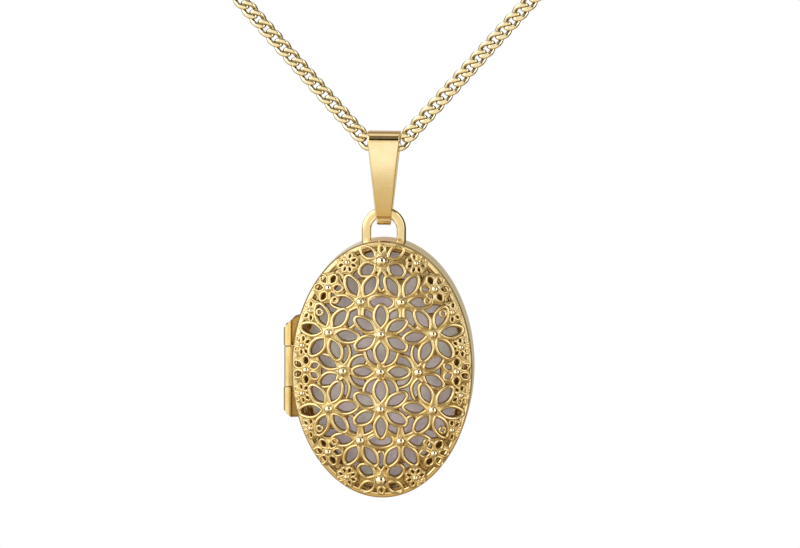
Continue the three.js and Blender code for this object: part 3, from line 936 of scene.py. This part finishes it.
def add_band(body, band, petals, holes, dice):
    """An oval band of small cells, left open inside the petals and the holes."""
    low, high, across, depth, relief, rough = band
    spots = [
        rim_place(share, TAU * i / BAND_STEPS)
        for i in range(BAND_STEPS) for share in spread(low, high, across)
    ]
    start = len(body.points)
    for x, z in spots:
        body.points.append(on_dome(x, z, dice.uniform(-rough, rough) / 2 - depth))
    for x, z in spots:
        body.points.append(on_dome(x, z, -depth - BAND_THICKNESS))
    # The band's relief sets its painted shade; its underside gets the full shade.
    body.relief.extend([relief] * len(spots) + [0.0] * len(spots))

    def corner(i, k):
        return i % BAND_STEPS * (across + 1) + k

    kept = []
    for i in range(BAND_STEPS):
        for k in range(across):
            (ax, az), (bx, bz) = spots[corner(i, k)], spots[corner(i + 1, k + 1)]
            middle = ((ax + bx) / 2, (az + bz) / 2)
            pierced = any(math.dist(middle, place) < radius for place, radius in holes)
            if not pierced and not any(petal.opening_holds(middle) for petal in petals):
                kept.append((i, k))
    solid = set(kept)
    for i, k in kept:
        top = [start + corner(*c) for c in ((i, k), (i + 1, k), (i + 1, k + 1), (i, k + 1))]
        under = [c + len(spots) for c in top]
        body.faces.append(tuple(top))
        body.faces.append(tuple(reversed(under)))
        for side, (di, dk) in enumerate(((0, -1), (1, 0), (0, 1), (-1, 0))):
            if ((i + di) % BAND_STEPS, k + dk) not in solid:
                other = (side + 1) % 4
                body.faces.append((top[side], under[side], under[other], top[other]))


def filigree_body():
    dice = random.Random(7)
    flowers = []
    for x, z, level, turn, kind, web in FLOWERS:
        for centre, turned in mirror_images(x, z, turn):
            flowers.append((flower_petals(centre, level, turned, kind, dice), kind[1], web))
    everything = [p for petals, _, _ in flowers for p in petals]
    body = Body()
    for petals, hub, web in flowers:
        centre, level = petals[0].centre, petals[0].level
        above = [
            p for p in everything
            if p.level > level and math.dist(p.centre, centre) < NEIGHBOUR_REACH
        ]
        for petal, following in zip(petals, petals[1:] + petals[:1]):
            if not left_out(petal):
                add_petal(body, petal, above)
            add_web(body, petal, following, web, hub, above)
        add_hub(body, centre, hub, level * LEVEL_STEP)
    for side in (-1, 1):
        add_lens(body, (0, side * SHARED_Z), everything)
    for x, z in CURLS:
        for centre, _ in mirror_images(x, z, 0):
            add_curl(body, centre)
    shown = [p for p in everything if not left_out(p)]
    add_band(body, GROUND, shown, pinholes(dice), dice)
    add_band(body, BACKING, [p for p in everything if p.scale == 1], [], dice)
    return body


def border_body():
    """Oval frame that the filigree is soldered into. The outermost wires lie on it."""
    edge, inner = DOME_HALF_HEIGHT, DOME_HALF_HEIGHT - BORDER_WIDTH
    body = oval_turned(rounded([
        (edge, DOME_EDGE_Y + EDGE_DEPTH), (edge, DOME_EDGE_Y + BORDER_SUNK + 0.05),
        (edge - 0.1, DOME_EDGE_Y + BORDER_SUNK), (inner + 0.1, DOME_EDGE_Y + BORDER_SUNK - 0.08),
        (inner, DOME_EDGE_Y + BORDER_SUNK), (inner, DOME_EDGE_Y + EDGE_DEPTH),
    ], 0.05))
    # Painted shade over the whole border, from its low relief.
    body.relief = [BORDER_RELIEF] * len(body.points)
    return body


# ---- granules

GRANULES = 33
GRANULE_AROUND = 36
GRANULE_STEPS = 16
GRANULE_TOP = 4  # the ball starts this many degrees from its pole
GRANULE_END = 134  # and ends this many from it
# The solder under it: radius and height, as shares of the ball's radius.
GRANULE_COLLAR = [(0.9, -0.82), (0.95, -0.95), (0.8, -1.1), (0.1, -1.3)]


def granule_body(name):
    """A polished ball on a small collar of solder, square to the dome."""
    low, high = node_box(name)
    centre = (low + high) / 2
    radius = max(high - low) / 2
    place = centre.x, centre.z - CASE_Z
    up = (on_dome(*place, 1) - on_dome(*place, 0)).normalized()
    side = up.orthogonal().normalized()
    other = up.cross(side)
    turns = [math.radians(turn) for turn in spread(GRANULE_TOP, GRANULE_END, GRANULE_STEPS)]
    profile = [(math.sin(turn), math.cos(turn)) for turn in turns]
    return Body([
        [centre + up * (radius * h) + radius * r * (cos * side + sin * other)
         for cos, sin in circle(GRANULE_AROUND)]
        for r, h in profile + GRANULE_COLLAR
    ], closed=False)


def make_granules(gold):
    for index in range(1, GRANULES + 1):
        node = f"granule_{index:02d}"
        make_piece(f"ball_{index:02d}", granule_body(node), gold, "lid", [node], 60)


# ---- materials

def fill(tree, node, inputs):
    """Sets a node's inputs, each to a constant or from another node's output."""
    for name, value in inputs.items():
        socket = node.inputs[name]
        if isinstance(value, bpy.types.NodeSocket):
            tree.links.new(value, socket)
        else:
            socket.default_value = (*value, 1) if socket.type == "RGBA" else value


def add(tree, kind, inputs, output=0):
    node = tree.nodes.new("ShaderNode" + kind)
    fill(tree, node, inputs)
    return node.outputs[output]


def new_material(name):
    material = bpy.data.materials.new(name)
    material.use_nodes = True
    return material, material.node_tree


def noise(tree, scale, detail, stretch=(1, 1, 1)):
    """Noise in object space, with its scale per metre, optionally stretched."""
    place = add(tree, "Mapping", {"Vector": add(tree, "TexCoord", {}, "Object"), "Scale": stretch})
    return add(tree, "TexNoise", {"Vector": place, "Scale": scale, "Detail": detail}, "Fac")


def blend(tree, factor, low, high):
    node = tree.nodes.new("ShaderNodeMix")
    node.data_type = "RGBA"
    fill(tree, node, {"Factor": factor, "A": low, "B": high})
    return node.outputs["Result"]


def ranged(tree, value, low, high, to_low=0, to_high=1):
    """Value mapped from low..high to to_low..to_high, clamped."""
    return add(tree, "MapRange", {
        "Value": value, "From Min": low, "From Max": high, "To Min": to_low, "To Max": to_high,
    }, "Result")


def maths(tree, operation, *values):
    node = tree.nodes.new("ShaderNodeMath")
    node.operation = operation
    fill(tree, node, dict(enumerate(values)))
    return node.outputs[0]


GOLD = (0.935, 0.795, 0.48)
GOLD_DEEP = (0.92, 0.745, 0.41)
PALE_GOLD = (1.0, 0.92, 0.67)
PALE_DEEP = (0.98, 0.875, 0.57)
# Painted highlight: a paler copy of the filigree's gold for the granules, so their reflections come
# out whiter.
BALL_GOLD = (0.94, 0.84, 0.62)
BALL_DEEP = (0.90, 0.79, 0.55)
FILIGREE_GOLD = (0.93, 0.80, 0.50)
FILIGREE_DEEP = (0.88, 0.70, 0.34)
# Painted shade: the colours that low relief is darkened towards, in the filigree's and the chain's
# recesses and other low places.
GOLD_PAINTED_SHADE = (0.23, 0.11, 0.022)
CHAIN_PAINTED_SHADE = (0.055, 0.035, 0.008)
SILVER_PAINTED_GLOW = 0.16  # painted light: the plate glows by this much, standing in for light that reaches it through the openings
MIDDLE_RELIEF = 0.6  # relief of the painted middle tone between the shaded recesses and the crests
RECESS_ROUGHNESS = 0.24  # more than on the crests
PAINTED_RECESS_GLOW = 0.12  # painted light: glow in the deepest places, a share of their painted shade colour


CREST_RELIEF = 0.97  # relief from which there is no painted shade
MIDDLE_SHADE = 0.82  # painted shade at the middle relief, a share of the deep tint
ROUGHER_BELOW = (0.75, 1.0)  # relief over which the roughness falls to the crests'
CLOUDS = (0.35, 0.65)  # the part of the noise that the clouds spread over
MARKS = (0.3, 0.7)  # and the polishing marks
MARK_STRETCH = (1, 1, 6)
CLOUD_SCALE = 700  # per metre, like the next four
MARK_SCALE = 2500
SILVER_CLOUDS = 260
SILVER_PATCHES = 600
SILVER_GRAIN = 9000
BUMP_DEPTH = 0.00002
SILVER_COLOURS = ((0.96, 0.87, 1.0), (0.89, 0.93, 0.90))  # lilac and a greenish grey
SILVER_SHADES = ((0.80, 0.78, 0.78), (1.06, 1.06, 1.06))


def gold_material(name, tint, deep, roughness, bump, painted_shade=None):
    """Polished gold plate: cloudy from deep to tint, polishing marks, with painted shade and a faint
    painted glow in recesses.
    """
    material, tree = new_material(name)
    shader = tree.nodes["Principled BSDF"]
    cloud = ranged(tree, noise(tree, CLOUD_SCALE, 3), *CLOUDS)
    colour = blend(tree, cloud, deep, tint)
    marks = noise(tree, MARK_SCALE, 4, MARK_STRETCH)
    rough = ranged(tree, marks, *MARKS, roughness * 0.7, roughness * 1.4)
    if painted_shade:
        relief = tree.nodes.new("ShaderNodeAttribute")
        relief.attribute_name = "relief"
        height = relief.outputs["Fac"]
        # Painted shade: low relief blends towards the shade colour, and the deepest places glow
        # faintly with painted light.
        low = ranged(tree, height, 0, MIDDLE_RELIEF)
        sunk = blend(tree, low, painted_shade, [MIDDLE_SHADE * c for c in deep])
        high = ranged(tree, height, MIDDLE_RELIEF, CREST_RELIEF)
        colour = blend(tree, high, sunk, colour)
        painted_glow = blend(tree, low, [PAINTED_RECESS_GLOW * c for c in painted_shade], (0, 0, 0))
        # Painted light: the deepest places glow faintly.
        fill(tree, shader, {"Emission Color": painted_glow, "Emission Strength": 1})
        rough = maths(tree, "ADD", rough, ranged(tree, height, *ROUGHER_BELOW, RECESS_ROUGHNESS, 0))
    bumps = add(tree, "Bump", {"Height": marks, "Strength": bump, "Distance": BUMP_DEPTH})
    fill(tree, shader, {
        "Metallic": 1, "Base Color": colour, "Roughness": rough, "Normal": bumps,
    })
    return material


def silver_material():
    """Satin silver, cloudy between two colours, lighter and darker in patches, glowing faintly with
    painted light.
    """
    material, tree = new_material("satin silver")
    cloud = ranged(tree, noise(tree, SILVER_CLOUDS, 2), *CLOUDS)
    patches = ranged(tree, noise(tree, SILVER_PATCHES, 2, (1, 1, 0.6)), *CLOUDS)
    both = tree.nodes.new("ShaderNodeVectorMath")
    both.operation = "MULTIPLY"
    fill(tree, both, {
        0: blend(tree, cloud, *SILVER_COLOURS),
        1: blend(tree, patches, *SILVER_SHADES),
    })
    colour = both.outputs[0]
    grain = noise(tree, SILVER_GRAIN, 3)
    fill(tree, tree.nodes["Principled BSDF"], {
        "Metallic": 0.3, "Base Color": colour, "Roughness": ranged(tree, grain, *MARKS, 0.32, 0.48),
        # Painted light: the plate glows in its own colour.
        "Emission Color": colour, "Emission Strength": SILVER_PAINTED_GLOW,
        "Normal": add(tree, "Bump", {"Height": grain, "Strength": 0.15, "Distance": 0.00003}),
    })
    return material


# ---- studio

# Panels round the object: [azimuth from, to, elevation from, to, softness, colour], in degrees.
# Azimuth 0 is in front, and grows towards +X. Later panels lie over earlier ones.
STUDIO_BASE = (0.30, 0.23, 0.13)
BEHIND = (0.34, 0.26, 0.16)
WINDOW = (1.85, 1.8, 1.66)
DARK = (0.03, 0.022, 0.012)
BLACK = (0.008, 0.006, 0.004)
STUDIO_PANELS = [
    (-200, -118, -90, 90, 10, BEHIND),
    (118, 200, -90, 90, 10, BEHIND),
    (-200, -163, -20, 20, 6, (0.72, 0.68, 0.60)),
    (163, 200, -20, 20, 6, (0.52, 0.48, 0.38)),
    (-200, -173, 3, 20, 1.5, (0.60, 0.47, 0.37)),
    (-70, 70, -60, -10, 8, (0.66, 0.50, 0.26)),
    (-62, 62, -14, 10, 4, (0.92, 0.84, 0.68)),
    (-102, -20, -45, -4, 6, (0.86, 0.80, 0.63)),
    (-40, 40, -70, -33, 4, (0.40, 0.24, 0.10)),
    (-30, 30, -12.6, -10.2, 1.2, (1.25, 1.22, 1.22)),
    (-102, -10, -4, 57, 6, WINDOW),
    (38, 80, -6, 50, 5, WINDOW),
    (78, 114, -60, 72, 6, DARK),
    (-118, -98, -60, 60, 6, DARK),
    (-12, 34, 33, 60, 3, (0.19, 0.155, 0.115)),
    (-12, 34, 11, 32, 3, BLACK),
    (10, 30, -2, 11, 2, BLACK),
    (-60, 60, 60, 70, 4, (0.15, 0.11, 0.07)),
    (-200, 200, 72, 90, 5, (0.9, 0.84, 0.74)),
]


def add_output(tree, kind, seen, others):
    """Ends a shader with what the camera sees and what every other ray meets."""
    camera = add(tree, "LightPath", {}, "Is Camera Ray")
    mix = add(tree, "MixShader", {0: camera, 1: others, 2: seen})
    tree.links.new(mix, tree.nodes.new("ShaderNodeOutput" + kind).inputs[0])


def make_world():
    """A white ground for the camera, and soft panels of light for everything else."""
    world = bpy.data.worlds.new("studio")
    bpy.context.scene.world = world
    world.use_nodes = True
    tree = world.node_tree
    tree.nodes.clear()

    def rise(value, at, soft):
        node = tree.nodes.new("ShaderNodeMapRange")
        node.interpolation_type = "SMOOTHSTEP"
        fill(tree, node, {"Value": value, "From Min": at - soft, "From Max": at + soft})
        return node.outputs["Result"]

    def band(value, low, high, soft):
        beyond = maths(tree, "SUBTRACT", 1, rise(value, high, soft))
        return maths(tree, "MULTIPLY", rise(value, low, soft), beyond)

    parts = tree.nodes.new("ShaderNodeSeparateXYZ")
    fill(tree, parts, {0: add(tree, "TexCoord", {}, "Generated")})
    x, y, z = parts.outputs
    towards_front = maths(tree, "MULTIPLY", y, -1)
    azimuth = maths(tree, "DEGREES", maths(tree, "ARCTAN2", x, towards_front))
    elevation = maths(tree, "DEGREES", maths(tree, "ARCSINE", z))
    colour = STUDIO_BASE
    for left, right, bottom, top, soft, shade in STUDIO_PANELS:
        mask = maths(tree, "MULTIPLY", band(azimuth, left, right, soft),
                     band(elevation, bottom, top, soft))
        colour = blend(tree, mask, colour, shade)
    ground = add(tree, "Background", {"Color": (1, 1, 1)})
    add_output(tree, "World", ground, add(tree, "Background", {"Color": colour}))


FLOOR_Z = -75
FLOOR_SIZE = 6000


def make_floor():
    """A plain white floor well below the pendant. Only the camera sees it."""
    bpy.ops.mesh.primitive_plane_add(size=FLOOR_SIZE * MM, location=(0, 0, FLOOR_Z * MM))
    floor = bpy.context.object
    floor.name = "floor"
    material, tree = new_material("white floor")
    tree.nodes.clear()
    add_output(tree, "Material", add(tree, "Emission", {}), add(tree, "BsdfTransparent", {}))
    floor.data.materials.append(material)


# ---- assembly

make_camera()
make_chain((gold_material("chain gold", PALE_GOLD, PALE_DEEP, 0.08, 0.06, CHAIN_PAINTED_SHADE),
            "chain_gold"))

polished = gold_material("polished gold", GOLD, GOLD_DEEP, 0.07, 0.04), "polished_gold"
filigree = (gold_material("filigree gold", FILIGREE_GOLD, FILIGREE_DEEP, 0.16, 0.2, GOLD_PAINTED_SHADE),
            "filigree_gold")
balls = gold_material("granule gold", BALL_GOLD, BALL_DEEP, 0.03, 0.01), "filigree_gold"
satin = silver_material(), "satin_silver"

sleeve = ring_body(SNAP_LOW, SNAP_HIGH, SLEEVE_WIDTH, 0)
frame_ring = ring_body(FRAME_LOW, FRAME_HIGH, FRAME_WIDTH, FRAME_SLOPE)
for name, body, finish, rides_on, node in (
        ("strap_bail", bail_body(), polished, "bail", "bail"),
        ("arched_loop", loop_body(), polished, "back", "pendant_loop"),
        ("case_back", back_shell_body(), polished, "back", "back_shell"),
        ("inner_sleeve", sleeve, polished, "back", "snap_rim"),
        ("frame_ring", frame_ring, polished, "back", "picture_frame"),
        ("inner_plate", plate_body(), satin, "back", "silver_plate"),
        ("lid_wall", lid_rim_body(), polished, "lid", "lid_rim")):
    make_piece(name, body, finish, rides_on, [node])
make_hinge(filigree)
make_piece("filigree_flowers", filigree_body(), filigree, "lid", ["filigree_dome"])
make_piece("filigree_border", border_body(), filigree, "lid", ["filigree_dome"])
make_granules(balls)

make_world()
make_floor()
bpy.context.scene.view_settings.view_transform = "Standard"
